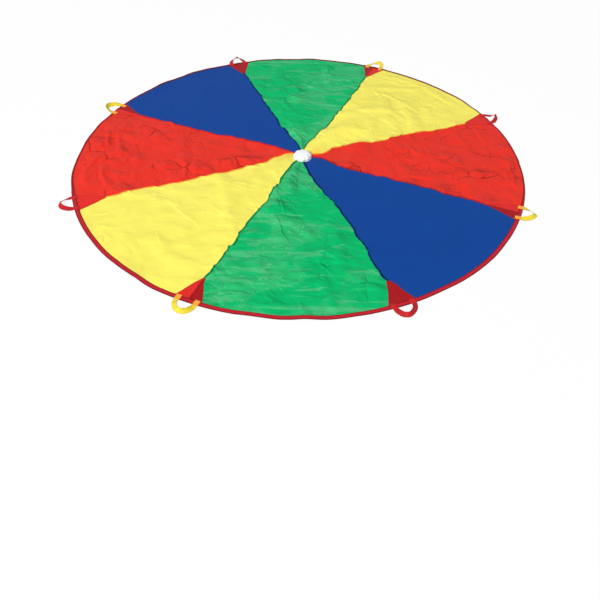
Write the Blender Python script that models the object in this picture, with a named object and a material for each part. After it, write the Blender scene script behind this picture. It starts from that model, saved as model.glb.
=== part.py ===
"""Play parachute of coloured cloth, lying open on the floor.

Eight gores are joined by felled seams, bound with a tape round the rim and covered by a
puckered cap at the centre. A hand loop of webbing is sewn over a corner patch wherever a
seam meets the rim. The near half turns up and over the far half about a line through the
middles of the two red gores, and each hand loop turns about the edge of the rim.

Metres, +Z up. The origin is on the floor below the centre of the canopy, and the two red
gores lie along X.
"""

import math

import bmesh
import bpy
from mathutils import Vector

# Canopy
CANOPY_DIAMETER = 2.4384
GORE_COUNT = 8
CLOTH_THICKNESS = 0.0006
SEWING_GAP = 0.0003
SEAM_WIDTH = 0.008
CLOTH_EDGE_INSET = 0.002
PANEL_STEPS = 12

# Rim tape
TAPE_WIDTH = 0.023
TAPE_THICKNESS = 0.0008
TAPE_CORNER = 0.0007
TAPE_SLOPE_RUN = 0.005
TAPE_PLAIN_STEPS = 10

# Corner patches
PATCH_WIDTH = 0.150
PATCH_DEPTH = 0.160
PATCH_APEX_WIDTH = 0.018

# Centre cap and the round patch below it
CAP_DIAMETER = 0.100
CAP_HEIGHT = 0.030
CAP_PUCKER = 0.0065
CAP_CROWN_DIP = 0.003
CAP_CLEARANCE = 0.0015
CAP_SEGMENTS = 64
UNDER_PATCH_DIAMETER = 0.124
# Each ring of the cap: share of its radius, share of its height.
CAP_PROFILE_SHARES = [
    (0.84, 0.0),
    (0.96, 0.11),
    (1.0, 0.29),
    (0.94, 0.57),
    (0.78, 0.82),
    (0.53, 0.96),
    (0.25, 1.0),
]

# Hand loops of webbing
WEBBING_WIDTH = 0.025
WEBBING_THICKNESS = 0.0015
HANDLE_SPACING = 0.090
HANDLE_REACH = 0.066
HANDLE_FOLD = math.radians(160)
LOOP_STEPS = 30
TAB_LENGTH = 0.032
TAB_SLOPE_RUN = 0.003
TAB_LOOP_CLEARANCE = 0.002

# Derived sizes of the canopy
CANOPY_RADIUS = CANOPY_DIAMETER / 2
CLOTH_RADIUS = CANOPY_RADIUS - TAPE_THICKNESS - CLOTH_EDGE_INSET
GORE_ANGLE = 2 * math.pi / GORE_COUNT
CAP_RADIUS = CAP_DIAMETER / 2
GORE_INNER_RADIUS = CAP_RADIUS + CAP_CLEARANCE

# Heights of the stacked layers, above the floor
GORE_BOTTOM = TAPE_THICKNESS + SEWING_GAP
LAYER_STEP = CLOTH_THICKNESS + SEWING_GAP
SEAM_LAYERS = 4
PATCH_LAYERS = 1

# Rim line, where the webbing leaves the canopy
HANDLE_INNER_EDGE = (HANDLE_SPACING - WEBBING_WIDTH) / 2
HANDLE_OUTER_EDGE = (HANDLE_SPACING + WEBBING_WIDTH) / 2
WEBBING_BOTTOM = GORE_BOTTOM + (1 + PATCH_LAYERS) * LAYER_STEP + TAPE_THICKNESS + SEWING_GAP
WEBBING_LEVEL = WEBBING_BOTTOM + WEBBING_THICKNESS / 2
RIM_AT_HANDLE = math.sqrt(CANOPY_RADIUS**2 - HANDLE_INNER_EDGE**2)
HANDLE_AXIS_RADIUS = RIM_AT_HANDLE + SEWING_GAP + WEBBING_THICKNESS / 2

# Fold line, above every layer that crosses it
FOLD_AXIS_HEIGHT = GORE_BOTTOM + LAYER_STEP + TAPE_THICKNESS + SEWING_GAP

COLOURS = {
    "red": (0.78, 0.040, 0.030),
    "yellow": (0.93, 0.84, 0.15),
    "green": (0.012, 0.46, 0.16),
    "blue": (0.012, 0.065, 0.31),
    "tape_red": (0.52, 0.020, 0.028),
    "webbing_red": (0.56, 0.018, 0.022),
    "webbing_yellow": (0.86, 0.66, 0.05),
    "white": (0.92, 0.93, 0.92),
}

# Whole gores: name, colour, place counted in gores from +X
WHOLE_GORES = [
    ("gore_yellow_far_right", "yellow", 1),
    ("gore_green_far", "green", 2),
    ("gore_blue_far_left", "blue", 3),
    ("gore_yellow_near_left", "yellow", 5),
    ("gore_green_near", "green", 6),
    ("gore_blue_near_right", "blue", 7),
]


def clear_scene():
    for obj in list(bpy.data.objects):
        bpy.data.objects.remove(obj, do_unlink=True)


def cloth_material(name, colour, roughness):
    material = bpy.data.materials.new(name)
    material.use_nodes = True
    shader = material.node_tree.nodes["Principled BSDF"]
    shader.inputs["Base Color"].default_value = (*colour, 1)
    shader.inputs["Roughness"].default_value = roughness
    shader.inputs["Metallic"].default_value = 0
    return material


def layer_height(layer):
    """Middle of a layer of cloth, with the gore itself as layer 0."""
    return GORE_BOTTOM + CLOTH_THICKNESS / 2 + layer * LAYER_STEP


def polar(radius, azimuth, height):
    return Vector((radius * math.cos(azimuth), radius * math.sin(azimuth), height))


def sheet_mesh(name, rows):
    """A surface of quads through rows of points that all have the same number of points."""
    bm = bmesh.new()
    grid = [[bm.verts.new(point) for point in row] for row in rows]
    for row, following in zip(grid, grid[1:]):
        for k in range(len(row) - 1):
            bm.faces.new((row[k], row[k + 1], following[k + 1], following[k]))
    mesh = bpy.data.meshes.new(name)
    bm.to_mesh(mesh)
    bm.free()
    return mesh


def place(obj, location, turn, half):
    """Puts an object at a place in the world, on the far half or on the near one."""
    obj.rotation_euler.z = turn
    if half is None:
        obj.location = location
    else:
        obj.parent = half
        obj.location = Vector(location) - half.location


def add_piece(name, mesh, material, location, turn, half):
    own_mesh = mesh.copy()
    own_mesh.name = name
    own_mesh.materials.append(material)
    obj = bpy.data.objects.new(name, own_mesh)
    bpy.context.collection.objects.link(obj)
    place(obj, location, turn, half)
    return obj


def add_sheet(name, mesh, thickness, material, location=(0, 0, 0), turn=0, half=None):
    """A piece cut from sheet material: the surface is the middle of its thickness."""
    obj = add_piece(name, mesh, material, location, turn, half)
    solidify = obj.modifiers.new("Thickness", "SOLIDIFY")
    solidify.thickness = thickness
    solidify.offset = 0
    solidify.use_even_offset = True
    return obj


# Gores. A felled seam has four layers: each gore's edge is turned back round the other's.
# Going round anticlockwise, a gore starts with the edge that laps over its neighbour and
# ends with the edge that lies underneath. Each point is an offset from the seam's line
# and a layer.


def over_edge():
    reach = SEAM_WIDTH / 2
    return [
        (reach - CLOTH_THICKNESS - SEWING_GAP, 1),
        (-reach - CLOTH_THICKNESS / 2, 1),
        (-reach - CLOTH_THICKNESS / 2, 3),
        (reach + SEWING_GAP + CLOTH_THICKNESS / 2, 3),
        (reach + SEWING_GAP + CLOTH_THICKNESS / 2, 0),
    ]


def under_edge():
    reach = SEAM_WIDTH / 2
    return [
        (reach - CLOTH_THICKNESS / 2, 0),
        (reach - CLOTH_THICKNESS / 2, 2),
        (-reach + SEWING_GAP, 2),
    ]


def gore_row(radius, start, first_edge, end, last_edge, steps):
    """Points across a gore at one radius, from its first edge to its last one."""
    head = [(start + offset / radius, layer_height(layer)) for offset, layer in first_edge]
    tail = [(end + offset / radius, layer_height(layer)) for offset, layer in last_edge]
    sweep = tail[0][0] - head[-1][0]
    panel = [(head[-1][0] + sweep * k / steps, layer_height(0)) for k in range(1, steps)]
    return [polar(radius, azimuth, height) for azimuth, height in head + panel + tail]


def gore_mesh(name, start, first_edge, end, last_edge, steps):
    radii = (GORE_INNER_RADIUS, CLOTH_RADIUS)
    return sheet_mesh(
        name, [gore_row(r, start, first_edge, end, last_edge, steps) for r in radii]
    )


def build_gores(materials, near_half):
    side = GORE_ANGLE / 2
    fold_edge = SEWING_GAP / 2
    whole = gore_mesh("gore", -side, over_edge(), side, under_edge(), PANEL_STEPS)
    for name, colour, place_round in WHOLE_GORES:
        half = near_half if place_round > GORE_COUNT / 2 else None
        turn = place_round * GORE_ANGLE
        add_sheet(name, whole, CLOTH_THICKNESS, materials[colour], turn=turn, half=half)

    # A red gore crosses the fold line, so it has a part on either side of its middle.
    steps = PANEL_STEPS // 2
    ending = gore_mesh("red_ending", 0, [(fold_edge, 0)], side, under_edge(), steps)
    starting = gore_mesh("red_starting", -side, over_edge(), 0, [(-fold_edge, 0)], steps)
    red_parts = [
        ("gore_red_right_far_part", ending, 0, None),
        ("gore_red_right_near_part", starting, 0, near_half),
        ("gore_red_left_far_part", starting, math.pi, None),
        ("gore_red_left_near_part", ending, math.pi, near_half),
    ]
    for name, mesh, turn, half in red_parts:
        add_sheet(name, mesh, CLOTH_THICKNESS, materials["red"], turn=turn, half=half)


# Corner patches. Each lies on the gores, with a channel over the seam below it.


def seam_cover_edges(clearance):
    """The offsets on either side of a seam where a sheet lying over it comes down."""
    before = SEAM_WIDTH / 2 + CLOTH_THICKNESS + clearance
    after = SEAM_WIDTH / 2 + SEWING_GAP + CLOTH_THICKNESS + clearance
    return -before, after


def patch_row(radius, half_width):
    before, after = seam_cover_edges(SEWING_GAP + CLOTH_THICKNESS / 2)
    section = [
        (-half_width, 1),
        (before, 1),
        (before, SEAM_LAYERS),
        (after, SEAM_LAYERS),
        (after, 1),
        (half_width, 1),
    ]
    return [polar(radius, offset / radius, layer_height(layer)) for offset, layer in section]


def patch_mesh():
    apex_radius = CANOPY_RADIUS - PATCH_DEPTH
    return sheet_mesh(
        "corner_patch",
        [patch_row(apex_radius, PATCH_APEX_WIDTH / 2), patch_row(CLOTH_RADIUS, PATCH_WIDTH / 2)],
    )


# Rim tape. It is folded round the edge of the cloth and rises over the patches and seams.


def tape_row(azimuth, layers):
    """The folded tape's section where it encloses so many layers of cloth."""
    inner = CANOPY_RADIUS - TAPE_WIDTH
    outer = CANOPY_RADIUS - TAPE_THICKNESS / 2
    low = TAPE_THICKNESS / 2
    high = GORE_BOTTOM + layers * LAYER_STEP + TAPE_THICKNESS / 2
    section = [
        (inner, low),
        (outer - TAPE_CORNER, low),
        (outer, low + TAPE_CORNER),
        (outer, high - TAPE_CORNER),
        (outer - TAPE_CORNER, high),
        (inner, high),
    ]
    return [polar(radius, azimuth, height) for radius, height in section]


def tape_stations_at_seam():
    """Offsets from a seam where the tape's height changes, with the layers it encloses."""
    patch_edge = PATCH_WIDTH / 2 + TAPE_SLOPE_RUN
    before, after = seam_cover_edges(2 * SEWING_GAP + CLOTH_THICKNESS)
    full = SEAM_LAYERS + PATCH_LAYERS
    covered = 1 + PATCH_LAYERS
    return [
        (-patch_edge - TAPE_SLOPE_RUN, 1),
        (-patch_edge, covered),
        ((-patch_edge + before) / 2, covered),
        (before - TAPE_SLOPE_RUN, covered),
        (before, full),
        (after, full),
        (after + TAPE_SLOPE_RUN, covered),
        ((patch_edge + after) / 2, covered),
        (patch_edge, covered),
        (patch_edge + TAPE_SLOPE_RUN, 1),
    ]


def half_rim_mesh():
    """The tape of the half canopy that goes anticlockwise from +X to -X."""
    cut = SEWING_GAP / 2 / CANOPY_RADIUS
    stations = [(cut, 1)]
    for seam in range(GORE_COUNT // 2):
        middle = (seam + 1 / 2) * GORE_ANGLE
        marked = [(middle + offset / CANOPY_RADIUS, n) for offset, n in tape_stations_at_seam()]
        plain_from = stations[-1][0]
        steps = TAPE_PLAIN_STEPS if seam else TAPE_PLAIN_STEPS // 2
        stations += plain_stations(plain_from, marked[0][0], steps) + marked
    stations += plain_stations(stations[-1][0], math.pi - cut, TAPE_PLAIN_STEPS // 2)
    stations.append((math.pi - cut, 1))
    return sheet_mesh("half_rim", [tape_row(azimuth, n) for azimuth, n in stations])


def plain_stations(start, end, steps):
    return [(start + (end - start) * k / steps, 1) for k in range(1, steps)]


# Centre. The cap's edge is drawn in by the seams, so that it swells over every gore.


def cap_ring(radius_share, height_share):
    points = []
    for k in range(CAP_SEGMENTS):
        azimuth = 2 * math.pi * k / CAP_SEGMENTS
        gather = 1 - abs(math.cos(azimuth * GORE_COUNT / 2))
        radius = radius_share * (CAP_RADIUS - CAP_PUCKER * gather * radius_share)
        height = CAP_HEIGHT * height_share - CAP_CROWN_DIP * gather * radius_share * height_share
        points.append(polar(radius, azimuth, GORE_BOTTOM + height))
    return points


def cap_mesh():
    bm = bmesh.new()
    rings = [[bm.verts.new(p) for p in cap_ring(*share)] for share in CAP_PROFILE_SHARES]
    for ring, following in zip(rings, rings[1:]):
        for k in range(CAP_SEGMENTS):
            after = (k + 1) % CAP_SEGMENTS
            bm.faces.new((ring[k], ring[after], following[after], following[k]))
    bm.faces.new(reversed(rings[0]))
    crown = bm.verts.new((0, 0, GORE_BOTTOM + CAP_HEIGHT))
    for k in range(CAP_SEGMENTS):
        bm.faces.new((rings[-1][k], rings[-1][(k + 1) % CAP_SEGMENTS], crown))
    mesh = bpy.data.meshes.new("centre_cap")
    bm.to_mesh(mesh)
    bm.free()
    mesh.shade_smooth()
    return mesh


def build_centre(materials):
    add_piece("centre_cap", cap_mesh(), materials["white"], (0, 0, 0), 0, None)

    bm = bmesh.new()
    bmesh.ops.create_cone(
        bm,
        cap_ends=True,
        segments=CAP_SEGMENTS,
        radius1=UNDER_PATCH_DIAMETER / 2,
        radius2=UNDER_PATCH_DIAMETER / 2,
        depth=TAPE_THICKNESS,
    )
    mesh = bpy.data.meshes.new("centre_patch_underneath")
    bm.to_mesh(mesh)
    bm.free()
    seat = (0, 0, TAPE_THICKNESS / 2)
    add_piece("centre_patch_underneath", mesh, materials["white"], seat, 0, None)


# Hand loops. Each is one strip of webbing. Its two ends are sewn down over the tape and
# the patch, and the loop between them lies flat where it leaves the rim and turns on edge
# towards its tip.


def tab_mesh():
    """A sewn end, along X: it lies on the patch, then steps up over the tape."""
    on_patch = GORE_BOTTOM + (1 + PATCH_LAYERS) * LAYER_STEP + WEBBING_THICKNESS / 2
    tape_edge = math.sqrt((CANOPY_RADIUS - TAPE_WIDTH) ** 2 - HANDLE_OUTER_EDGE**2)
    step_top = tape_edge - 2 * SEWING_GAP
    # Cleared by the loop, which lies over this end when it is folded in.
    folded_rise = math.tan((math.pi - HANDLE_FOLD) / 2)
    free_end = WEBBING_THICKNESS / 2 / folded_rise + TAB_LOOP_CLEARANCE
    section = [
        (CANOPY_RADIUS - TAB_LENGTH, on_patch),
        (step_top - TAB_SLOPE_RUN, on_patch),
        (step_top, WEBBING_LEVEL),
        (HANDLE_AXIS_RADIUS - free_end, WEBBING_LEVEL),
    ]
    side = WEBBING_WIDTH / 2
    return sheet_mesh("sewn_end", [[Vector((x, y, z)) for x, z in section] for y in (side, -side)])


def loop_row(place_x, place_y, heading):
    """Both edges of the webbing at one place of the loop. The origin is on the hinge line."""
    on_edge = math.sin(math.pi / 2 * max(place_x, 0) / HANDLE_REACH) ** 2
    flat = math.sqrt(1 - on_edge**2)
    lift = WEBBING_WIDTH / 2 + SEWING_GAP - WEBBING_LEVEL
    middle = Vector((place_x, place_y, lift * on_edge))
    left = Vector((-heading[1], heading[0], 0)).normalized()
    across = left * flat - Vector((0, 0, on_edge))
    return [middle - across * WEBBING_WIDTH / 2, middle + across * WEBBING_WIDTH / 2]


def loop_mesh():
    side = HANDLE_SPACING / 2
    rows = [loop_row(-WEBBING_THICKNESS, side, (1, 0))]
    for k in range(LOOP_STEPS + 1):
        turn = math.pi * k / LOOP_STEPS
        heading = (HANDLE_REACH * math.cos(turn), -side * math.sin(turn))
        rows.append(loop_row(HANDLE_REACH * math.sin(turn), side * math.cos(turn), heading))
    rows.append(loop_row(-WEBBING_THICKNESS, -side, (-1, 0)))
    return sheet_mesh("hand_loop", rows)


def build_handles(materials, near_half):
    patch = patch_mesh()
    tab = tab_mesh()
    loop = loop_mesh()
    for number in range(GORE_COUNT):
        name = f"handle_{number + 1}"
        azimuth = (number + 1 / 2) * GORE_ANGLE
        half = near_half if number >= GORE_COUNT // 2 else None
        webbing = materials["webbing_yellow" if number % 2 else "webbing_red"]
        red = materials["tape_red"]
        add_sheet(f"{name}_corner_patch", patch, CLOTH_THICKNESS, red, turn=azimuth, half=half)
        for side, sign in (("left", 1), ("right", -1)):
            offset = sign * HANDLE_SPACING / 2
            spot = (-offset * math.sin(azimuth), offset * math.cos(azimuth), 0)
            end = f"{name}_sewn_end_{side}"
            add_sheet(end, tab, WEBBING_THICKNESS, webbing, spot, azimuth, half)
        hinge = polar(HANDLE_AXIS_RADIUS, azimuth, WEBBING_LEVEL)
        add_sheet(f"{name}_loop", loop, WEBBING_THICKNESS, webbing, hinge, azimuth, half)


def build_rim(materials, near_half):
    rim = half_rim_mesh()
    red = materials["tape_red"]
    add_sheet("rim_tape_far", rim, TAPE_THICKNESS, red)
    add_sheet("rim_tape_near", rim, TAPE_THICKNESS, red, turn=math.pi, half=near_half)


def build_parachute():
    clear_scene()
    materials = {}
    for name, colour in COLOURS.items():
        roughness = 0.75 if name.startswith("webbing") else 0.45
        materials[name] = cloth_material(name, colour, roughness)

    # The near half hangs from this empty, which is on the fold line.
    near_half = bpy.data.objects.new("near_half_fold_line", None)
    bpy.context.collection.objects.link(near_half)
    near_half.location = (0, 0, FOLD_AXIS_HEIGHT)

    build_gores(materials, near_half)
    build_rim(materials, near_half)
    build_centre(materials)
    build_handles(materials, near_half)


build_parachute()
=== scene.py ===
import math

import bpy
import numpy as np
from mathutils import Matrix, Vector


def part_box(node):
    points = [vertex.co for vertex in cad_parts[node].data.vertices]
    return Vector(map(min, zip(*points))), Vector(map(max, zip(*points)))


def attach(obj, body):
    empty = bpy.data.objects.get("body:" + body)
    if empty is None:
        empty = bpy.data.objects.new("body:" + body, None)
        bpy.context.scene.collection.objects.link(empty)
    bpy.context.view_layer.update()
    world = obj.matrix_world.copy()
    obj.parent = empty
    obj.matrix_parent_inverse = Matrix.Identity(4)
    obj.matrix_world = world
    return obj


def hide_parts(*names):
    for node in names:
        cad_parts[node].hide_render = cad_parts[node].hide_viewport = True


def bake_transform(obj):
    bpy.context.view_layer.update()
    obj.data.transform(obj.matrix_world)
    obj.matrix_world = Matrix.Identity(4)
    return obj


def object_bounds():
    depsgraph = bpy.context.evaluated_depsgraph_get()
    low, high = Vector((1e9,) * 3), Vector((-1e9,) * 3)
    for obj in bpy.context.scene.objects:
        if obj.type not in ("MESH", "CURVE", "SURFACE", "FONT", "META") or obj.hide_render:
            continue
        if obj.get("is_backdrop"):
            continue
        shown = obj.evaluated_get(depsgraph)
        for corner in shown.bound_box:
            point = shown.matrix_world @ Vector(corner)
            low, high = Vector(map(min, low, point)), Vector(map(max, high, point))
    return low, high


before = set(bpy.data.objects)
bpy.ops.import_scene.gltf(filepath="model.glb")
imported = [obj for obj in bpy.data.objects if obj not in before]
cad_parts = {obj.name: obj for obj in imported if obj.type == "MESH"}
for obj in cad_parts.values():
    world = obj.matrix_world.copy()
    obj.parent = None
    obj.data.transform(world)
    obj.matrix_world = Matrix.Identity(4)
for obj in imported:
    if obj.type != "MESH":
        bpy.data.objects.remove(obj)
cad_low, cad_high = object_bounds()

# The lie of the cloth. Sewn together, the eight gores are one sheet of thin nylon taffeta. It was
# shaken out on the floor with a little slack in it, so it settles in low folds, held out by the
# bound rim and drawn in at the centre, and it keeps the creases that it got in its bag.
RIM_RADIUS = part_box("rim_tape_far")[1].y
GORE_ANGLE = math.radians(45)
GORE_COLOURS = ["red", "yellow", "green", "blue"]
CLOTH_LEVEL = 0.0014
SETTLING_STEP = 0.018
SETTLING_FRAMES = 24
SLACK = 0.016
FLOOR_CLEARANCE = 0.002
HELD_RIM = 0.036
HELD_CENTRE = 0.050


def smooth(value, low, high):
    """0 below low, 1 above high, and an even swing between them."""
    share = np.clip((value - low) / (high - low), 0, 1)
    return share * share * (3 - 2 * share)


def between(grid, i, j, s, t):
    """What a grid holds between four of its points, at a share s and t of the way."""
    near = grid[i, j] * (1 - s) + grid[i + 1, j] * s
    far = grid[i, j + 1] * (1 - s) + grid[i + 1, j + 1] * s
    return near * (1 - t) + far * t


NOISE_POINTS = 256
NOISE_START = 60


def soft_noise(x, y, size, seed):
    """Even random swells between about -1 and 1, so many metres across."""
    values = np.random.default_rng(seed).uniform(-1, 1, (NOISE_POINTS, NOISE_POINTS))
    turn = seed * 0.7
    across = (x * math.cos(turn) - y * math.sin(turn)) / size + NOISE_START
    along = (x * math.sin(turn) + y * math.cos(turn)) / size + NOISE_START
    i = np.floor(across).astype(int)
    j = np.floor(along).astype(int)
    s = smooth(across - i, 0, 1)
    t = smooth(along - j, 0, 1)
    return between(values, i % (NOISE_POINTS - 1), j % (NOISE_POINTS - 1), s, t)


def new_piece(name, points, faces):
    """An object with a mesh of these points and faces."""
    mesh = bpy.data.meshes.new(name)
    mesh.from_pydata(points.tolist(), [], faces)
    piece = bpy.data.objects.new(name, mesh)
    bpy.context.collection.objects.link(piece)
    return piece


def settled_sheet():
    """The sheet's sideways shifts and its height, on a square grid, once it has settled."""
    count = int(math.ceil((RIM_RADIUS + 0.06) / SETTLING_STEP))
    line = np.arange(-count, count + 1) * SETTLING_STEP
    x, y = np.meshgrid(line, line, indexing="ij")
    shape = (*x.shape, 3)
    radius = np.hypot(x, y)
    inside = radius <= RIM_RADIUS
    swell = 0.004 + 0.004 * soft_noise(x, y, 0.12, 1) + 0.003 * soft_noise(x, y, 0.06, 2)
    loose = smooth(RIM_RADIUS - radius, 0, 0.08)
    z = FLOOR_CLEARANCE + np.clip(swell, 0, None) * loose
    number = np.full(x.shape, -1)
    number[inside] = np.arange(inside.sum())
    corners = [number[:-1, :-1], number[1:, :-1], number[1:, 1:], number[:-1, 1:]]
    whole = np.all([c >= 0 for c in corners], axis=0)
    faces = np.stack([c[whole] for c in corners], axis=1)
    points = np.stack([x[inside], y[inside], z[inside]], axis=1)

    sheet = new_piece("settling_sheet", points, faces.tolist())
    held = sheet.vertex_groups.new(name="held")
    out = np.hypot(points[:, 0], points[:, 1])
    at_rim = out > RIM_RADIUS - HELD_RIM
    used = np.bincount(faces.ravel(), minlength=len(points)) > 0
    held.add(np.where(at_rim | (out < HELD_CENTRE) | ~used)[0].tolist(), 1.0, "REPLACE")

    bpy.ops.object.select_all(action="DESELECT")
    bpy.ops.mesh.primitive_plane_add(size=4)
    ground = bpy.context.object
    ground.modifiers.new("Ground", "COLLISION")
    ground.collision.thickness_outer = FLOOR_CLEARANCE
    ground.collision.cloth_friction = 20

    cloth = sheet.modifiers.new("Cloth", "CLOTH")
    settings = cloth.settings
    settings.quality = 4
    settings.mass = 0.05
    settings.air_damping = 2
    for kind, stiffness in (("tension", 15), ("compression", 15), ("shear", 5)):
        setattr(settings, f"{kind}_stiffness", stiffness)
        setattr(settings, f"{kind}_damping", 10)
    settings.bending_stiffness = 5
    settings.vertex_group_mass = "held"
    settings.shrink_min = -SLACK
    settings.shrink_max = -SLACK
    cloth.collision_settings.distance_min = FLOOR_CLEARANCE
    cloth.collision_settings.collision_quality = 1
    cloth.collision_settings.use_self_collision = False
    cloth.point_cache.frame_start = 1
    cloth.point_cache.frame_end = SETTLING_FRAMES
    for number_of_frame in range(1, SETTLING_FRAMES + 1):
        bpy.context.scene.frame_set(number_of_frame)
    settled = sheet.evaluated_get(bpy.context.evaluated_depsgraph_get())
    moved = np.zeros(len(points) * 3, np.float32)
    settled.data.vertices.foreach_get("co", moved)
    moved = moved.reshape(-1, 3) - points * (1, 1, 0)
    moved[:, 2] -= FLOOR_CLEARANCE
    moved[~used] = 0
    found = np.zeros(shape)
    found[inside] = moved
    bpy.data.objects.remove(sheet)
    bpy.data.objects.remove(ground)
    bpy.context.scene.frame_set(1)
    return line, found


def read_grid(grid, line, x, y):
    """Values of a grid at any places, along even curves through its points."""
    step = line[1] - line[0]
    top = len(line) - 3
    i = np.clip(np.floor((x - line[0]) / step).astype(int), 1, top)
    j = np.clip(np.floor((y - line[0]) / step).astype(int), 1, top)
    s = (x - line[i]) / step
    t = (y - line[j]) / step

    def weights(a):
        return [
            (-a + 2 * a**2 - a**3) / 2,
            (2 - 5 * a**2 + 3 * a**3) / 2,
            (a + 4 * a**2 - 3 * a**3) / 2,
            (a**3 - a**2) / 2,
        ]

    total = 0
    for m, wide in enumerate(weights(s)):
        for n, deep in enumerate(weights(t)):
            total = total + grid[i + m - 1, j + n - 1] * (wide * deep)[..., None]
    return total


LIE_STEP = 0.0030
LIE_REACH = RIM_RADIUS + 0.048
lie_line = np.linspace(-LIE_REACH, LIE_REACH, 1 + 2 * round(LIE_REACH / LIE_STEP))
LIE_STEP = lie_line[1] - lie_line[0]
lie_x, lie_y = np.meshgrid(lie_line, lie_line, indexing="ij")
lie_radius = np.hypot(lie_x, lie_y)
lie_azimuth = np.degrees(np.arctan2(lie_y, lie_x)) % 360
from_seam = lie_azimuth % 45 - 22.5
seam_distance = np.abs(np.sin(np.radians(from_seam))) * lie_radius

# How much of the settled height each gore keeps, anticlockwise from the right: the blue ones lie
# almost smooth. Across a seam the one changes into the other.
SETTLED_SHARES = np.array([0.50, 0.38, 0.42, 0.07, 0.34, 0.30, 0.42, 0.07])
own_gore = np.floor((lie_azimuth + 22.5) / 45).astype(int) % 8
next_gore = (own_gore + np.where(from_seam < 0, 1, -1)) % 8
own = 0.5 + 0.5 * smooth(seam_distance, 0, 0.05)
settled_share = SETTLED_SHARES[own_gore] * own + SETTLED_SHARES[next_gore] * (1 - own)
settled_line, settled = settled_sheet()
settled = read_grid(settled, settled_line, lie_x, lie_y)
lie_shift = settled[..., :2].copy()
lie_lift = (settled[..., 2] - 0.003) * settled_share

# Slow sideways wandering of the seams, from where the cloth was pulled and dropped.
loose = smooth(RIM_RADIUS - lie_radius, 0.01, 0.16) * smooth(lie_radius, 0.10, 0.24)
for part, seed in ((0, 11), (1, 12)):
    wander = 0.0085 * soft_noise(lie_x, lie_y, 0.19, seed)
    wander += 0.0045 * soft_noise(lie_x, lie_y, 0.07, seed + 5)
    wander += 0.0030 * soft_noise(lie_x, lie_y, 0.034, seed + 9)
    lie_shift[..., part] += wander * loose * (1 - 0.45 * smooth(lie_y, -0.1, 0.3))


def near_line(x, y, heading, reach):
    """The part of the grid within reach of a place, along and across a line through it."""
    i = slice(*np.searchsorted(lie_line, (x - reach, x + reach)))
    j = slice(*np.searchsorted(lie_line, (y - reach, y + reach)))
    dx = lie_x[i, j] - x
    dy = lie_y[i, j] - y
    along = dx * math.cos(heading) + dy * math.sin(heading)
    across = dy * math.cos(heading) - dx * math.sin(heading)
    return (i, j), along, across


def add_crease(x, y, heading, length, rise, steep, gentle, bend=0.0):
    """A crease: two flat flanks, a steep and a gentle one, meet in a sharp ridge or valley."""
    part, along, across = near_line(x, y, heading, length / 2 + max(steep, gentle))
    wave = 0.006 * soft_noise(along, 0 * along + 3 * x, 0.05, 61)
    across = across - bend * along**2 - wave
    fade = np.clip(1 - (2 * along / length) ** 2, 0, 1)
    beside = np.sqrt(across**2 + 0.0012**2) / np.where(across > 0, gentle, steep)
    lie_lift[part] += rise * fade * np.clip(1 - beside, 0, 1) ** 1.3


def add_tuck(x, y, heading, length, take_up):
    """A small fold across a seam, which pulls the cloth on both its sides towards it."""
    part, along, across = near_line(x, y, heading, length / 2 + 0.15)
    fade = np.clip(1 - (2 * along / length) ** 2, 0, 1)
    pull = -np.tanh(across / (0.72 * take_up)) * np.exp(-np.abs(across) / 0.05) * take_up / 2 * fade
    lie_shift[(*part, 0)] -= math.sin(heading) * pull
    lie_shift[(*part, 1)] += math.cos(heading) * pull
    lie_lift[part] += 0.20 * take_up * fade * np.exp(-((across / (0.9 * take_up)) ** 2))


# How rumpled each gore is, anticlockwise from the right.
RUMPLED = [1.2, 0.7, 1.1, 1.0, 1.1, 0.5, 1.2, 1.0]
packing = np.random.default_rng(20)


def scatter_creases(kinds, innermost, from_rim, spread, turning, bending):
    """Random creases on every gore, most of them across it. Each kind has its number of creases,
    their lengths, rise, steep flanks and gentle flanks."""
    for gore in range(8):
        many, lengths, rise, steep, gentle = kinds[GORE_COLOURS[gore % 4]]
        for _ in range(many):
            radius = math.sqrt(packing.uniform(innermost**2, (RIM_RADIUS - from_rim) ** 2))
            azimuth = (gore + packing.uniform(-spread, spread)) * GORE_ANGLE
            add_crease(
                radius * math.cos(azimuth),
                radius * math.sin(azimuth),
                azimuth + math.pi / 2 + packing.normal(0, turning),
                packing.uniform(*lengths),
                packing.normal(0, rise * RUMPLED[gore]),
                packing.uniform(*steep),
                packing.uniform(*gentle),
                packing.uniform(-bending, bending),
            )


# Creases left by packing. The yellow gores have few and long ones, the green ones many and short
# ones, and the blue hardly any.
PACKING_CREASES = {
    "red": (70, (0.08, 0.30), 0.0024, (0.006, 0.012), (0.030, 0.080)),
    "yellow": (60, (0.12, 0.42), 0.0022, (0.007, 0.013), (0.030, 0.080)),
    "green": (130, (0.06, 0.24), 0.0036, (0.006, 0.012), (0.025, 0.060)),
    "blue": (30, (0.08, 0.26), 0.0004, (0.008, 0.018), (0.030, 0.070)),
}
scatter_creases(PACKING_CREASES, 0.10, 0.05, spread=0.48, turning=0.75, bending=0.7)

# Fine creases between them, as sharp as thin cloth folds.
FINE_FLANKS = ((0.004, 0.007), (0.005, 0.014))
FINE_CREASES = {
    "red": (170, (0.04, 0.16), 0.0008, *FINE_FLANKS),
    "yellow": (120, (0.04, 0.20), 0.0006, *FINE_FLANKS),
    "green": (240, (0.04, 0.14), 0.0010, *FINE_FLANKS),
    "blue": (60, (0.03, 0.12), 0.0002, *FINE_FLANKS),
}
scatter_creases(FINE_CREASES, 0.08, 0.04, spread=0.49, turning=0.9, bending=3)

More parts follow.
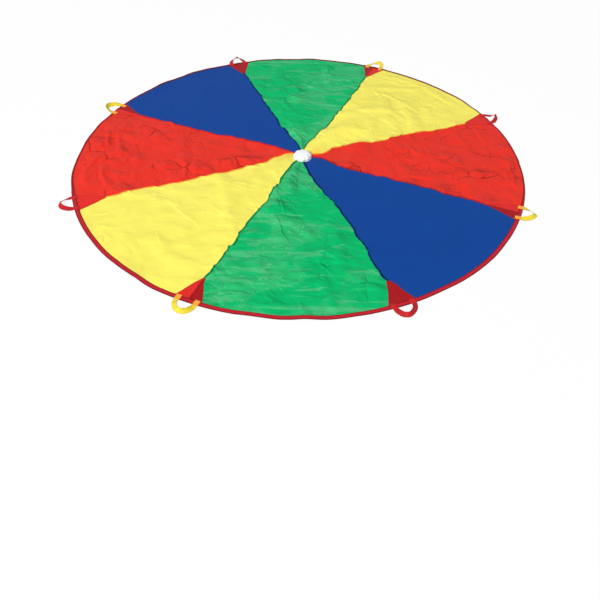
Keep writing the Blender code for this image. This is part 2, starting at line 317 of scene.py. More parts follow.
# The larger creases: place, heading in degrees, length, rise, steep and gentle flank, all the
# lengths in millimetres.
LARGER_CREASES = [
    # red, left
    (-663, -46, 9, 257, 6, 8.1, 30), (-913, 95, 71, 203, 3.9, 9, 30),
    (-936, -37, 83, 152, 3.6, 9, 30), (-1093, 126, -74, 270, 11.25, 27, 24),
    (-1025, 98, -77, 330, 11.25, 30.6, 28), (-1120, -130, -98, 220, 8.25, 21.6, 22),
    (-1027, -244, -66, 186, 5.4, 10.8, 30), (-911, -306, -37, 133, 3.9, 9, 30),
    (-620, -170, -80, 170, 5.1, 8.1, 22), (-588, 62, -77, 120, 3.3, 8.1, 20),
    (-854, 239, -37, 114, 3.3, 9, 30), (-766, 45, -1, 277, 2.7, 9, 50),
    # yellow, near left
    (-970, -543, 19, 153, 3.6, 9, 45), (-903, -637, -7, 188, 3, 9, 50),
    (-582, -533, -49, 350, 3.6, 9, 60), (-280, -281, -13, 198, 2.7, 8.1, 40),
    (-386, -522, -35, 226, 2.7, 9, 50), (-769, -394, 20, 210, 2.4, 9, 50),
    # red, right
    (822, 123, -88, 341, 4.5, 7.2, 20), (812, -141, -98, 347, 5.1, 7.2, 20),
    (1040, 276, -79, 280, 9, 18, 26), (993, -125, -131, 287, 8.25, 18, 30),
    (1150, -103, -92, 300, 11.25, 14.4, 36), (1120, -187, -72, 184, 4.5, 9, 30),
    (539, 37, -1, 303, 3, 9, 40), (613, 128, -75, 185, 3.3, 8.1, 30),
    (1002, -237, -97, 140, 3.9, 9, 20), (938, 47, 18, 146, 3, 9, 30),
    (535, -118, 27, 173, 2.7, 9, 30),
    # yellow, far right
    (533, 683, -37, 364, 4.5, 10.8, 50), (489, 685, 34, 246, 3.6, 9, 40),
    (665, 558, -39, 285, 3.3, 9, 50), (640, 386, 24, 186, 3, 9, 40),
    (348, 285, 17, 180, 3, 8.1, 30), (863, 695, -7, 269, 3.3, 9, 40),
    (463, 716, -76, 204, 3.3, 9, 30),
    # green, far
    (23, 812, -27, 327, 7.5, 10.8, 40), (-204, 849, 26, 162, 6, 10.8, 30),
    (-275, 1004, 8, 165, 5.4, 10.8, 30), (-39, 662, 20, 371, 6.6, 10.8, 40),
    (-136, 596, 42, 132, 5.4, 9, 30), (-58, 305, -67, 206, 5.1, 9, 30),
    (89, 880, 33, 141, 5.1, 9, 30), (202, 869, -10, 77, 6, 12.6, 30),
    (-57, 504, 10, 234, 4.5, 9, 30), (-209, 1103, -6, 226, 4.5, 10.8, 40),
]
for x, y, heading, *sizes in LARGER_CREASES:
    add_crease(x / 1000, y / 1000, math.radians(heading), *(size / 1000 for size in sizes))

# Each seam is shorter than the cloth beside it, so the cloth ripples along it, and small tucks
# across it make its line jump. Per tuck: seam, distance out, angle to the seam, take-up.
ripple = soft_noise(lie_radius, lie_azimuth // 45 * 3.7, 0.016, 31)
ripple += soft_noise(lie_radius, lie_azimuth // 45 * 5.1, 0.032, 32)
lie_lift += 0.0010 * ripple * np.exp(-seam_distance / 0.014)
SEAM_TUCKS = [
    (0, 0.445, 48, 0.005), (0, 0.690, -44, 0.010), (1, 0.754, 40, 0.014), (1, 0.480, -50, 0.007),
    (2, 0.703, -36, 0.015), (2, 0.470, 42, 0.008), (3, 0.508, 40, 0.013), (3, 0.825, -42, 0.014),
    (3, 0.640, 50, 0.008), (4, 0.662, -46, 0.013), (4, 0.930, 40, 0.013), (5, 0.420, 38, 0.010),
    (5, 0.820, -45, 0.012), (6, 0.390, -38, 0.012), (6, 0.760, 42, 0.012), (7, 0.635, 44, 0.010),
    (7, 0.805, -40, 0.011), (7, 0.960, 38, 0.009),
]
RANDOM_TUCKS = 15
for seam in range(8):
    for _ in range(RANDOM_TUCKS):
        angle = packing.choice([-1, 1]) * packing.uniform(30, 60)
        SEAM_TUCKS.append((seam, packing.uniform(0.22, 1.02), angle, packing.uniform(0.003, 0.011)))
for seam, radius, angle, take_up in SEAM_TUCKS:
    azimuth = (seam + 0.5) * GORE_ANGLE
    heading = azimuth + math.radians(angle)
    x, y = radius * math.cos(azimuth), radius * math.sin(azimuth)
    add_tuck(x, y, heading, 0.06 + 8 * take_up, take_up)

# The folds stay low along the fold line, at the bound rim and under the hand loops, and nothing
# goes below the floor. Between the loops the rim rises in shallow waves.
loop_flat = np.ones_like(lie_x)
for seam in range(8):
    azimuth = (seam + 0.5) * GORE_ANGLE
    hinge_x = (RIM_RADIUS - 0.05) * math.cos(azimuth)
    hinge_y = (RIM_RADIUS - 0.05) * math.sin(azimuth)
    loop_flat *= smooth(np.hypot(lie_x - hinge_x, lie_y - hinge_y), 0.06, 0.17)
fold_flat = 0.30 + 0.70 * smooth(np.abs(lie_y), 0.0, 0.09)
at_rim = 0.15 + 0.85 * smooth(RIM_RADIUS - lie_radius, 0.005, 0.08)
lie_lift *= fold_flat * at_rim * (0.12 + 0.88 * loop_flat)
lie_lift *= smooth(lie_radius, 0.045, 0.09)
METRES_PER_DEGREE = 0.0213
along_rim = lie_azimuth * METRES_PER_DEGREE
waves = np.clip(soft_noise(along_rim, 0 * along_rim, 0.10, 71) + 0.1, 0, 1)
lie_lift += 0.0065 * waves * smooth(RIM_RADIUS - lie_radius, 0.10, 0.0) * loop_flat * fold_flat
lie_lift = (lie_lift + np.sqrt(lie_lift**2 + 0.0006**2)) / 2
lie_lift += CLOTH_LEVEL
wave = 0.0030 * soft_noise(along_rim, 0 * along_rim, 0.13, 72) * loop_flat
for part, way in ((0, lie_x), (1, lie_y)):
    lie_shift[..., part] += wave * way / RIM_RADIUS * smooth(lie_radius, 0.9, 1.2)

# Round the cap the cloth is gathered. The red gores are pinched to narrow pleats there, and the
# yellow ones spread over them. Per seam: distances out, and the azimuths that it has there.
GATHERED_SEAMS = [
    ((0.050, 0.085, 0.113, 0.150, 0.186, 0.298, 0.42), (26, 19, 17, 23, 31, 26.5, 22.5)),
    ((0.050, 0.094, 0.205, 0.342), (92, 85, 72, 67.5)),
    ((0.050, 0.087, 0.191, 0.327), (97, 100, 108, 112.5)),
    ((0.050, 0.066, 0.194, 0.369, 0.52), (143, 144, 149.5, 154.5, 157.5)),
    ((0.050, 0.070, 0.124, 0.202, 0.357, 0.45), (148, 151, 179, 195, 201.5, 202.5)),
    ((0.050, 0.120, 0.211, 0.50), (236, 241, 245, 247.5)),
    ((0.050, 0.120, 0.227, 0.50), (278, 284, 289, 292.5)),
    ((0.050, 0.085, 0.113, 0.155, 0.216, 0.35), (365, 359.5, 356, 346, 337.5, 337.5)),
]
seam_places = [np.interp(lie_radius, radii, azimuths) for radii, azimuths in GATHERED_SEAMS]
laid_out = lie_azimuth.copy()
laid_out[lie_azimuth < 22.5] += 360
part_way = (laid_out - 22.5) / 45
first_seam = np.clip(np.floor(part_way).astype(int), 0, 7)
part_way = part_way - first_seam
seam_places = np.stack([*seam_places, seam_places[0] + 360])
before = np.take_along_axis(seam_places, first_seam[None], axis=0)[0]
after = np.take_along_axis(seam_places, first_seam[None] + 1, axis=0)[0]
new_azimuth = np.radians(before + (after - before) * part_way)
lie_shift[..., 0] += lie_radius * np.cos(new_azimuth) - lie_x
lie_shift[..., 1] += lie_radius * np.sin(new_azimuth) - lie_y
near_cap = smooth(lie_radius, 0.045, 0.065)
pleat = np.exp(-(((lie_azimuth + 90) % 180 - 90) ** 2) / 15**2)
lie_lift += 0.0050 * pleat * near_cap * (1 - smooth(lie_radius, 0.09, 0.17))
# Between the seams it swells a little. Per swell: azimuth, rise, half its angle, and how far out
# it starts and stops falling again.
SWELLS = [
    (40, 0.007, 13, 0.08, 0.21), (92, 0.005, 9, 0.08, 0.21), (130, 0.004, 8, 0.08, 0.21),
    (62, 0.003, 5, 0.08, 0.21), (222, 0.006, 10, 0.08, 0.21), (268, 0.004, 8, 0.08, 0.21),
    (315, 0.005, 9, 0.08, 0.21), (50, 0.024, 12, 0.65, 1.05), (262, 0.016, 9, 0.30, 0.75),
    (95, 0.009, 9, 0.55, 0.95), (228, 0.007, 12, 0.50, 1.00),
]
for azimuth, rise, spread, full, gone in SWELLS:
    turn_off = (lie_azimuth - azimuth + 180) % 360 - 180
    swell = np.exp(-((turn_off / spread) ** 2)) * smooth(lie_radius, 0.045, 0.065 + full / 3)
    lie_lift += rise * swell * (1 - smooth(lie_radius, full, gone))

slope_x, slope_y = np.gradient(lie_lift, LIE_STEP)
lie_normal = np.stack([-slope_x, -slope_y, np.ones_like(slope_x)], axis=-1)
lie_normal /= np.linalg.norm(lie_normal, axis=-1, keepdims=True)
lie_fields = np.concatenate([lie_shift, lie_lift[..., None], lie_normal], axis=-1)


def lay(u, v, height):
    """Where a point of the flat pattern comes to lie, so high above the cloth."""
    u, v, height = np.broadcast_arrays(u, v, height)
    i = np.clip((u + LIE_REACH) / LIE_STEP, 0, len(lie_line) - 1.001)
    j = np.clip((v + LIE_REACH) / LIE_STEP, 0, len(lie_line) - 1.001)
    a = np.floor(i).astype(int)
    b = np.floor(j).astype(int)
    found = between(lie_fields, a, b, (i - a)[..., None], (j - b)[..., None])
    place = np.stack([u + found[..., 0], v + found[..., 1], found[..., 2]], axis=-1)
    normal = found[..., 3:] / np.linalg.norm(found[..., 3:], axis=-1, keepdims=True)
    return place + normal * height[..., None]


# Gores. Each is a wedge of taffeta, cut with its threads along its middle. Its edge is turned in
# round its neighbour's, four layers deep, and sewn down flat with two rows of stitches.
GORE_ROW_STEP = 0.0042
GORE_COLUMNS = 190
GORE_INNER = 0.0515
GORE_INNER_FAR = 0.042
GORE_OUTER = RIM_RADIUS - 0.0028
OVER_EDGE = [
    (-0.0038, 0.00030), (-0.0044, 0.00050), (-0.0046, 0.00090), (-0.0044, 0.00130),
    (-0.0036, 0.00155), (-0.0018, 0.00160), (0.0000, 0.00170), (0.0018, 0.00165),
    (0.0034, 0.00150), (0.0044, 0.00110), (0.0050, 0.00050), (0.0060, 0.00010), (0.0085, 0.0),
]
UNDER_EDGE = [(-0.0085, 0.0), (-0.0060, 0.0), (-0.0046, 0.0), (-0.0030, 0.0), (0.0030, 0.0)]
GORES = [
    ("gore_red_right", "red", 0, None),
    ("gore_yellow_far_right", "yellow", 1, "far_half"),
    ("gore_green_far", "green", 2, "far_half"),
    ("gore_blue_far_left", "blue", 3, "far_half"),
    ("gore_red_left", "red", 4, None),
    ("gore_yellow_near_left", "yellow", 5, "near_half"),
    ("gore_green_near", "green", 6, "near_half"),
    ("gore_blue_near_right", "blue", 7, "near_half"),
]


def new_group(name, inputs, outputs):
    """A node group with these inputs (name, kind, value) and outputs (name, kind)."""
    group = bpy.data.node_groups.new(name, "ShaderNodeTree")
    for label, kind, value in inputs:
        socket = group.interface.new_socket(label, in_out="INPUT", socket_type=kind)
        if value is not None:
            socket.default_value = value
    for label, kind in outputs:
        group.interface.new_socket(label, in_out="OUTPUT", socket_type=kind)
    given = group.nodes.new("NodeGroupInput").outputs
    result = group.nodes.new("NodeGroupOutput").inputs
    return group, given, result


def add_node(tree, kind, links=(), **settings):
    """A node with its settings, and its inputs linked or set."""
    node = tree.nodes.new(kind)
    for key, value in settings.items():
        setattr(node, key, value)
    for key, value in dict(links).items():
        if isinstance(value, bpy.types.NodeSocket):
            tree.links.new(value, node.inputs[key])
        else:
            node.inputs[key].default_value = value
    return node


def math_node(tree, operation, a, b=0.0, c=0.0):
    return add_node(tree, "ShaderNodeMath", {0: a, 1: b, 2: c}, operation=operation).outputs[0]


def noise_node(tree, place, scale, detail, distortion=0.0):
    """Random swells over a flat place, between 0 and 1."""
    links = {"Vector": place, "Scale": scale, "Detail": detail, "Distortion": distortion}
    return add_node(tree, "ShaderNodeTexNoise", links, noise_dimensions="2D")


def range_node(tree, value, low, high, to_low=0.0, to_high=1.0):
    """The values from low to high, spread over to_low to to_high."""
    links = {"Value": value, "From Min": low, "From Max": high, "To Min": to_low, "To Max": to_high}
    return add_node(tree, "ShaderNodeMapRange", links).outputs[0]


def facet_edges(tree, place, scale):
    """How far a place is from the edge of its facet."""
    return add_node(
        tree,
        "ShaderNodeTexVoronoi",
        {"Vector": place, "Scale": scale},
        voronoi_dimensions="2D",
        feature="DISTANCE_TO_EDGE",
    ).outputs[0]


def stretched(tree, vector, wide, deep):
    """A flat place, with its X and Y multiplied by these."""
    where = add_node(tree, "ShaderNodeSeparateXYZ", {0: vector})
    x = math_node(tree, "MULTIPLY", where.outputs["X"], wide)
    y = math_node(tree, "MULTIPLY", where.outputs["Y"], deep)
    return add_node(tree, "ShaderNodeCombineXYZ", {0: x, 1: y}).outputs[0]


# Plain weave: warp and weft cross over each other, so many threads to the metre.
TAFFETA_THREADS = 1600.0
tree, given, result = new_group(
    "plain_weave",
    [("Flat Pattern", "NodeSocketVector", None), ("Threads", "NodeSocketFloat", TAFFETA_THREADS)],
    [("Height", "NodeSocketFloat")],
)
weave_group = tree
split = add_node(tree, "ShaderNodeSeparateXYZ", {0: given["Flat Pattern"]})
yarns = []
for way in ("X", "Y"):
    angle = math_node(tree, "MULTIPLY", split.outputs[way], given["Threads"])
    yarns.append(math_node(tree, "SINE", math_node(tree, "MULTIPLY", angle, math.pi)))
crossing = math_node(tree, "MULTIPLY", *yarns)
tree.links.new(math_node(tree, "MULTIPLY_ADD", crossing, 0.5, 0.5), result["Height"])

# Crumple: flat facets that meet in sharp fine creases, from being pressed in a bag. The large
# ones fade out here and there, so that their edges make no net, and the small ones come in patches.
tree, given, result = new_group(
    "crumple",
    [
        ("Vector", "NodeSocketVector", None),
        ("Facets", "NodeSocketFloat", 8.0),
        ("Stretch", "NodeSocketFloat", 1.0),
        ("Crinkle", "NodeSocketFloat", 2.0),
        ("Rumpled", "NodeSocketFloat", 1.0),
    ],
    [("Height", "NodeSocketFloat"), ("Creases", "NodeSocketFloat")],
)
crumple_group = tree
place = stretched(tree, given["Vector"], 1.0, given["Stretch"])
stir = noise_node(tree, place, 6.0, 3.0)
stirred = add_node(
    tree,
    "ShaderNodeVectorMath",
    {0: stir.outputs["Color"], 1: (0.08, 0.08, 0.0), 2: place},
    operation="MULTIPLY_ADD",
).outputs[0]
large = facet_edges(tree, stirred, given["Facets"])
small = facet_edges(tree, stirred, math_node(tree, "MULTIPLY", given["Facets"], 2.3))
rumpled = noise_node(tree, place, 3.2, 2.0).outputs[0]
rumpled = range_node(tree, rumpled, 0.44, 0.62, to_high=0.3)
small_height = math_node(tree, "MULTIPLY", small, rumpled)
fading = range_node(tree, noise_node(tree, place, 4.5, 1.0).outputs[0], 0.42, 0.62, to_high=1.6)
height = math_node(tree, "MULTIPLY_ADD", large, fading, small_height)
# Along the edges of the facets run sharp lines, here raised and there sunk, that come and go.
# Their strength is cubed, so that they are gone for most of their length.
for edges, reach, steeper, size in ((small, 0.065, 0.9, 7.0), (large, 0.035, 4.2, 4.0)):
    line = math_node(tree, "MINIMUM", edges, reach)
    coming = noise_node(tree, place, size, 1.0).outputs[0]
    coming = range_node(tree, coming, 0.32, 0.68, to_low=-1.0)
    coming = math_node(tree, "POWER", coming, 3.0)
    strength = math_node(tree, "MULTIPLY", coming, steeper)
    strength = math_node(tree, "MULTIPLY", strength, given["Crinkle"])
    height = math_node(tree, "MULTIPLY_ADD", line, strength, height)
grain = noise_node(tree, place, 85.0, 2.0).outputs[0]
height = math_node(tree, "MULTIPLY_ADD", grain, 0.016, height)
height = math_node(tree, "MULTIPLY", height, given["Rumpled"])
tree.links.new(height, result["Height"])
edge_line = range_node(tree, large, 0.0, 0.05, to_low=1.0, to_high=0.0)
tree.links.new(math_node(tree, "MULTIPLY", edge_line, fading), result["Creases"])

# Uneven dye: patches that are slightly lighter or darker.
tree, given, result = new_group(
    "uneven_dye",
    [
        ("Color", "NodeSocketColor", None),
        ("Vector", "NodeSocketVector", None),
        ("Patches", "NodeSocketFloat", 5.0),
        ("Amount", "NodeSocketFloat", 0.08),
    ],
    [("Color", "NodeSocketColor")],
)
dye_group = tree
cloud = add_node(
    tree,
    "ShaderNodeTexNoise",
    {"Vector": given["Vector"], "Scale": given["Patches"], "Detail": 5.0},
)
swing = math_node(tree, "SUBTRACT", cloud.outputs[0], 0.5)
swing = math_node(tree, "MULTIPLY", swing, given["Amount"])
level = math_node(tree, "MULTIPLY_ADD", swing, 2.0, 1.0)
links = {0: given["Color"], "Scale": level}
shaded = add_node(tree, "ShaderNodeVectorMath", links, operation="SCALE")
tree.links.new(shaded.outputs[0], result["Color"])

# Painted sheen: pale streaks across the cloth and broad pale areas, painted where its facets would
# catch a glossy sheen. Within the broad areas, fine pale lines of painted sheen wander over it.
tree, given, result = new_group(
    "painted_sheen_streaks",
    [
        ("Flat Pattern", "NodeSocketVector", None),
        ("Across", "NodeSocketFloat", 3.0),
        ("Along", "NodeSocketFloat", 24.0),
    ],
    [("Mask", "NodeSocketFloat")],
)
painted_sheen_group = tree
place = stretched(tree, given["Flat Pattern"], given["Across"], given["Along"])
sheen_mask = range_node(tree, noise_node(tree, place, 1.0, 2.0, 0.7).outputs[0], 0.56, 0.65, to_high=0.5)
sheen_areas = noise_node(tree, given["Flat Pattern"], 3.4, 2.0, 0.6).outputs[0]
sheen_mask = math_node(tree, "MAXIMUM", sheen_mask, range_node(tree, sheen_areas, 0.48, 0.55, to_high=0.16))
place = stretched(tree, given["Flat Pattern"], 7.0, 15.0)
away = math_node(tree, "SUBTRACT", noise_node(tree, place, 1.0, 3.0, 1.2).outputs[0], 0.5)
away = math_node(tree, "ABSOLUTE", away)
sheen_lines = range_node(tree, away, 0.003, 0.022, to_low=1.0, to_high=0.0)
sheen_lines = math_node(tree, "MULTIPLY", sheen_lines, range_node(tree, sheen_areas, 0.45, 0.55))
tree.links.new(math_node(tree, "MAXIMUM", sheen_mask, sheen_lines), result["Mask"])


def use_group(tree, group, links):
    return add_node(tree, "ShaderNodeGroup", links, node_tree=group)


def new_material(name, specular):
    """A material, its tree and its shader."""
    material = bpy.data.materials.new(name)
    material.use_nodes = True
    shader = material.node_tree.nodes["Principled BSDF"]
    shader.inputs["Specular IOR Level"].default_value = specular
    return material, material.node_tree, shader


def mix_colours(tree, share, first, second):
    """The first colour, turning into the second."""
    colours = [c if isinstance(c, bpy.types.NodeSocket) else (*c, 1) for c in (first, second)]
    links = {0: share, 6: colours[0], 7: colours[1]}
    return add_node(tree, "ShaderNodeMix", links, data_type="RGBA").outputs[2]


def dye(tree, shader, colour, patches, amount):
    """Puts the colour on the shader, dyed unevenly."""
    where = add_node(tree, "ShaderNodeTexCoord").outputs["Object"]
    links = {"Color": colour, "Vector": where, "Patches": patches, "Amount": amount}
    dyed = use_group(tree, dye_group, links)
    tree.links.new(dyed.outputs[0], shader.inputs["Base Color"])


def taffeta(
    name, colour, doubled, facets, slope, painted_sheen_amount=0.0, specular=0.06, stretch=1.0, crinkle=2.0
):
    """Thin nylon taffeta. Where it lies several layers deep, less light comes through it. Pale
    streaks of painted sheen lie over it.
    """
    material, tree, shader = new_material(name, specular)
    flat = add_node(tree, "ShaderNodeUVMap", uv_map="flat_pattern").outputs[0]
    # On the rim tape this attribute also carries painted shade.
    layers = add_node(tree, "ShaderNodeAttribute", attribute_name="layers").outputs["Fac"]
    rumpled = add_node(tree, "ShaderNodeAttribute", attribute_name="rumpled").outputs["Fac"]
    links = {
        "Vector": add_node(tree, "ShaderNodeTexCoord").outputs["Object"],
        "Facets": facets,
        "Stretch": stretch,
        "Crinkle": crinkle,
        "Rumpled": rumpled,
    }
    crumple = use_group(tree, crumple_group, links)
    weave = use_group(tree, weave_group, {"Flat Pattern": flat, "Threads": TAFFETA_THREADS})
    painted_sheen_mask = use_group(tree, painted_sheen_group, {"Flat Pattern": flat})
    # The cloth's colour lightened towards white: painted sheen, laid on by the sheen mask.
    painted_sheen_colour = [c + (1 - c) * 0.10 for c in colour]
    share = math_node(tree, "MULTIPLY", painted_sheen_mask.outputs[0], painted_sheen_amount)
    with_painted_sheen = mix_colours(tree, share, colour, painted_sheen_colour)
    dye(tree, shader, mix_colours(tree, layers, with_painted_sheen, doubled), 6.0, 0.07)
    gloss = math_node(tree, "MULTIPLY_ADD", crumple.outputs["Creases"], 0.08, 0.40)
    tree.links.new(gloss, shader.inputs["Roughness"])
    links = {"Height": weave.outputs[0], "Strength": 0.25, "Distance": 0.0001}
    fine = add_node(tree, "ShaderNodeBump", links)
    links = {
        "Height": crumple.outputs["Height"],
        "Strength": 1.0,
        "Distance": slope / facets,
        "Normal": fine.outputs[0],
    }
    tree.links.new(add_node(tree, "ShaderNodeBump", links).outputs[0], shader.inputs["Normal"])
    return material


# The pale streaks on each cloth are painted sheen, strongest on the green gores.
GORE_CLOTH = {
    "red": taffeta(
        "red_taffeta", (0.82, 0.033, 0.020), (0.44, 0.010, 0.012), 7, 0.12, painted_sheen_amount=0.05, crinkle=1.8
    ),
    "yellow": taffeta(
        "yellow_taffeta",
        (0.96, 0.86, 0.135),
        (0.88, 0.36, 0.04),
        5,
        0.050,
        painted_sheen_amount=0.2,
        stretch=1.6,
        crinkle=1.3,
    ),
    "green": taffeta(
        "green_taffeta",
        (0.002, 0.475, 0.142),
        (0.002, 0.22, 0.06),
        6,
        0.085,
        painted_sheen_amount=1.15,
        specular=0.04,
        stretch=1.4,
        crinkle=0.9,
    ),
    "blue": taffeta(
        "blue_taffeta", (0.007, 0.062, 0.31), (0.003, 0.018, 0.12), 5, 0.010, specular=0.03
    ),
}


def cloth_from_rows(name, points, pattern, layers, material, rumpled=1.0):
    """A sheet through rows of points, with its flat pattern in metres as its UV map."""
    rows, columns = points.shape[:2]
    number = np.arange(rows * columns).reshape(rows, columns)
    faces = np.stack(
        [number[:-1, :-1], number[1:, :-1], number[1:, 1:], number[:-1, 1:]], axis=-1
    ).reshape(-1, 4)
    piece = new_piece(name, points.reshape(-1, 3), faces.tolist())
    mesh = piece.data
    uv = mesh.uv_layers.new(name="flat_pattern")
    uv.data.foreach_set("uv", pattern.reshape(-1, 2)[faces.ravel()].astype(np.float32).ravel())
    for label, values in (("layers", layers), ("rumpled", rumpled)):
        values = np.broadcast_to(values, (rows, columns)).astype(np.float32)
        mesh.attributes.new(label, "FLOAT", "POINT").data.foreach_set("value", values.ravel())
    mesh.shade_smooth()
    mesh.materials.append(material)
    return piece


def polar(radius, azimuth):
    """The flat place at a radius and an azimuth."""
    return radius * np.cos(azimuth), radius * np.sin(azimuth)


def ride_half(piece, body):
    """Tied to the far half, which stays; any other piece has its transform baked into its points.
    """
    if body == "far_half":
        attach(piece, body)
    else:
        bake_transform(piece)


def wedge(name, colour, place_round, body):
    """A gore, in rows from the cap out to the rim and columns from seam to seam."""
    inner = GORE_INNER_FAR if body == "far_half" else GORE_INNER
    rows = round((GORE_OUTER - inner) / GORE_ROW_STEP)
    radius = np.linspace(inner, GORE_OUTER, rows + 1)[:, None]
    first = (place_round - 0.5) * GORE_ANGLE
    last = (place_round + 0.5) * GORE_ANGLE
    over = np.array(OVER_EDGE)
    under = np.array(UNDER_EDGE)
    start = first + over[:, 0] / radius
    end = last + under[:, 0] / radius
    share = np.linspace(0, 1, GORE_COLUMNS + 1)[1:-1]
    if body is None:
        share = np.sort(np.append(share, 0.5 + np.arange(-9, 2) * 0.0021))
    panel = start[:, -1:] + (end[:, :1] - start[:, -1:]) * share
    azimuth = np.concatenate([start, panel, end], axis=1)
    level = np.concatenate([over[:, 1], np.zeros(len(share)), under[:, 1]])
    u, v = polar(radius, azimuth)
    points = lay(u, v, np.broadcast_to(level, u.shape))
    middle = place_round * GORE_ANGLE
    pattern = np.stack(
        [radius * np.sin(azimuth - middle), radius * np.cos(azimuth - middle)], axis=-1
    )
    layers = np.broadcast_to(smooth(level, 0.0, 0.0008), u.shape)
    if colour == "yellow":
        # Near the cap the yellow lies over the pleated red beside it, which shows through.
        over_red = smooth(radius, 0.17, 0.06)
        over_red = over_red * (1 - smooth(azimuth - first, 0.0, 0.75 * GORE_ANGLE))
        layers = np.maximum(layers, 0.55 * over_red)
    # The small creases come in patches, and on the green near gore they crowd towards the cap.
    patches = 0.75 + 0.35 * smooth(soft_noise(u, v, 0.16, 91), -0.35, 0.45)
    rumpled = RUMPLED[place_round] * patches
    if place_round == 6:
        rumpled = rumpled * (1 + 0.4 * smooth(radius, 0.75, 0.25))
    piece = cloth_from_rows(name, points, pattern, layers, GORE_CLOTH[colour], rumpled)
    return piece


for name, colour, place_round, body in GORES:
    gore = wedge(name.replace("gore_", "") + "_gore", colour, place_round, body)
    ride_half(gore, body)
    if body:
        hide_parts(name)
    else:
        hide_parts(f"{name}_far_part", f"{name}_near_part")

# Seam stitching. Two rows of polyester thread hold each felled seam, a few millimetres apart.
THREAD_WIDTH = 0.00045
THREAD_RISE = 0.00030
STITCH_LENGTH = 0.0026
STITCH_PITCH = 0.0033


def thread_material(name, colour):
    """Spun polyester thread, with the turns of its plies."""
    material, tree, shader = new_material(name, 0.25)
    dye(tree, shader, (*colour, 1), 900.0, 0.25)
    shader.inputs["Roughness"].default_value = 0.6
    return material


def stitched(name, runs, material):
    """Stitches along runs of points (u, v, height above the cloth)."""
    points, faces = [], []
    made = 0
    for run in runs:
        run = np.asarray(run, float)
        steps = np.linalg.norm(np.diff(run[:, :2], axis=0), axis=1)
        gone = np.concatenate([[0], np.cumsum(steps)])
        start = np.arange(STITCH_PITCH / 2, gone[-1] - STITCH_LENGTH, STITCH_PITCH)
        if not len(start):
            continue
        at = start[:, None] + STITCH_LENGTH * np.array([0.0, 0.28, 0.72, 1.0])
        u, v, high = (np.interp(at, gone, run[:, k]) for k in range(3))
        centre = lay(u, v, high)
        up = lay(u, v, high + 0.001) - centre
        up /= np.linalg.norm(up, axis=-1, keepdims=True)
        ahead = centre[:, -1:] - centre[:, :1]
        side = np.cross(ahead, up)
        side /= np.linalg.norm(side, axis=-1, keepdims=True)
        side = side * THREAD_WIDTH / 2
        rise = up * THREAD_RISE
        rings = []
        for k in (1, 2):
            rings += [
                centre[:, k] - side[:, k],
                centre[:, k] + rise[:, k],
                centre[:, k] + side[:, k],
                centre[:, k] - rise[:, k] * 0.4,
            ]
        ends = [centre[:, k] - rise[:, k] * 0.5 for k in (0, 3)]
        block = np.stack([ends[0], *rings, ends[1]], axis=1)
        points.append(block.reshape(-1, 3))
        base = made + np.arange(len(start))[:, None] * 10
        for k in range(4):
            after = (k + 1) % 4
            faces += (base + [0, 1 + after, 1 + k]).tolist()
            faces += (base + [1 + k, 1 + after, 5 + after, 5 + k]).tolist()
            faces += (base + [9, 5 + k, 5 + after]).tolist()
        made += len(start) * 10
    piece = new_piece(name, np.concatenate(points), faces)
    piece.data.shade_smooth()
    piece.data.materials.append(material)
    return piece


def run_round(out, azimuth, high):
    """A run of stitches through these radii, azimuths and heights."""
    return np.stack([*polar(out, azimuth), high + 0 * azimuth], axis=1)


SEAM_THREADS = [
    thread_material("orange_thread", (0.80, 0.40, 0.06)),
    thread_material("green_thread", (0.010, 0.30, 0.10)),
    thread_material("blue_thread", (0.008, 0.045, 0.21)),
    thread_material("red_thread", (0.50, 0.016, 0.020)),
]
PATCH_DEPTH = 0.160
for seam in range(8):
    body = "far_half" if seam < 4 else "near_half"
    azimuth = (seam + 0.5) * GORE_ANGLE
    inner = GORE_INNER + 0.002
    out = np.arange(inner, RIM_RADIUS - PATCH_DEPTH + 0.004, 0.002)
    runs = [run_round(out, azimuth + offset / out, 0.0016) for offset in (-0.0032, 0.0030)]
    threads = stitched(f"seam_stitching_{seam + 1}", runs, SEAM_THREADS[seam % 4])
    ride_half(threads, body)

# Corner patches. Each is a triangle of heavier red cloth laid over the end of a seam, with its
# edges turned under and sewn down, so that the hand loop pulls on more than one layer.
PATCH_WIDTH = 0.150
PATCH_APEX = 0.018
PATCH_COLUMNS = 44
PATCH_ROWS = 46
PATCH_CLOTH = taffeta(
    "patch_taffeta", (0.76, 0.027, 0.022), (0.385, 0.0095, 0.013), 14, 0.030, specular=0.08
)
DARK_CLOTH = {"green", "blue"}


def over_seam(offset, rise=0.0017):
    """How much higher a layer lies where it passes over a seam."""
    return rise * (1 - smooth(np.abs(offset - 0.0002), 0.0042, 0.0085))


def patch_half_width(radius):
    """From the patch's middle to its edge."""
    share = (radius - (RIM_RADIUS - PATCH_DEPTH)) / PATCH_DEPTH
    return PATCH_APEX / 2 + (PATCH_WIDTH - PATCH_APEX) / 2 * share


def patch_level(offset, half_width):
    """Height of the patch above the gores: it lies over the seam and turns under at its edge."""
    edge = (half_width - np.abs(offset)) / 0.0012
    turned = np.sqrt(np.clip(1 - (1 - np.clip(edge, 0, 1)) ** 2, 0, 1))
    hem = 0.00025 * (1 - smooth(half_width - np.abs(offset), 0.006, 0.008))
    return 0.00025 + 0.00045 * turned + hem + over_seam(offset)


